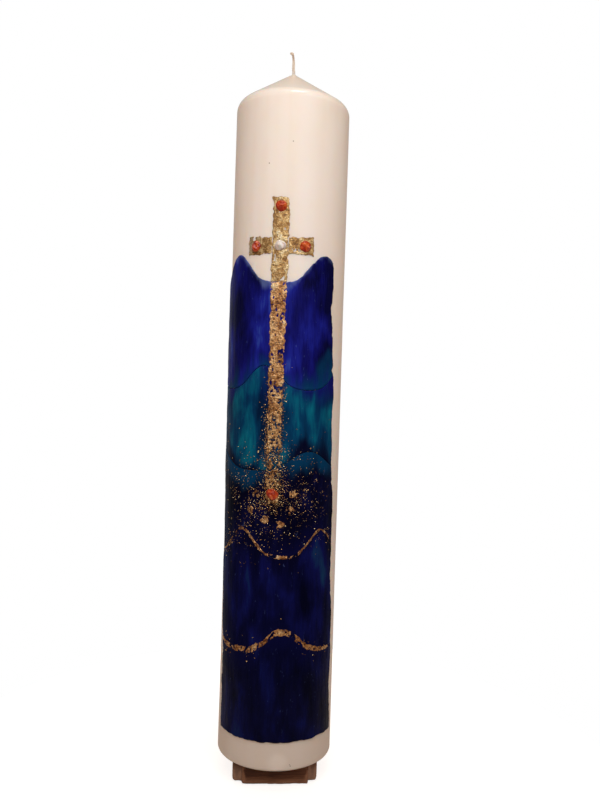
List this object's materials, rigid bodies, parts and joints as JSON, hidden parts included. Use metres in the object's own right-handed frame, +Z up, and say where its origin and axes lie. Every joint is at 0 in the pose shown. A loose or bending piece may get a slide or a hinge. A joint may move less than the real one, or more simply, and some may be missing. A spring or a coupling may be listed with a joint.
{
  "type": "church candle",
  "caption": "Tall ivory pillar candle with a wick, dressed in blue wax sheet, gold leaf and wax drops, which lifts off a spiked wooden foot block.",
  "frame": {"origin": "centre of the foot block's underside, on the pillar's axis", "axes": "+Z up along the pillar's axis, -Y towards the viewer of the dressed front, +X to that viewer's right"},
  "size_m": [0.1012, 0.1054, 0.639],
  "materials": {
    "ivory_wax": "smooth candle wax with a soft sheen",
    "waxed_cotton": "braided cotton soaked in wax",
    "ultramarine_wax": "brushed, glossy coloured wax",
    "teal_wax": "brushed, glossy coloured wax",
    "navy_wax": "brushed, glossy coloured wax",
    "gold_leaf": "crumpled leaf metal on a wax film",
    "orange_red_wax": "glossy poured wax",
    "pearl_wax": "pearly poured wax",
    "dark_wood": "dark stained and waxed",
    "spike_steel": "turned"
  },
  "bodies": {
    "foot": {"foot_block": "dark_wood", "foot_spike": "spike_steel"},
    "candle": {"candle_body": "ivory_wax", "wick": "waxed_cotton", "sheet_band_1": "navy_wax", "sheet_band_2": "ultramarine_wax", "sheet_band_3": "navy_wax", "sheet_band_4": "teal_wax", "sheet_band_5": "ultramarine_wax", "gold_line_lower": "gold_leaf", "gold_line_upper": "gold_leaf", "cross_stem": "gold_leaf", "cross_head": "gold_leaf", "cross_arm_left": "gold_leaf", "cross_arm_right": "gold_leaf", "leaf_scrap_1": "gold_leaf", "leaf_scrap_2": "gold_leaf", "leaf_scrap_3": "gold_leaf", "leaf_scrap_4": "gold_leaf", "leaf_scrap_5": "gold_leaf", "leaf_scrap_6": "gold_leaf", "drop_centre": "pearl_wax", "drop_head": "orange_red_wax", "drop_left": "orange_red_wax", "drop_right": "orange_red_wax", "drop_foot": "orange_red_wax"}
  },
  "joints": [
    {"name": "candle_lift", "type": "slide", "parent": "foot", "child": "candle", "axis": [0, 0, 1], "range_m": [0, 0.048]}
  ]
}
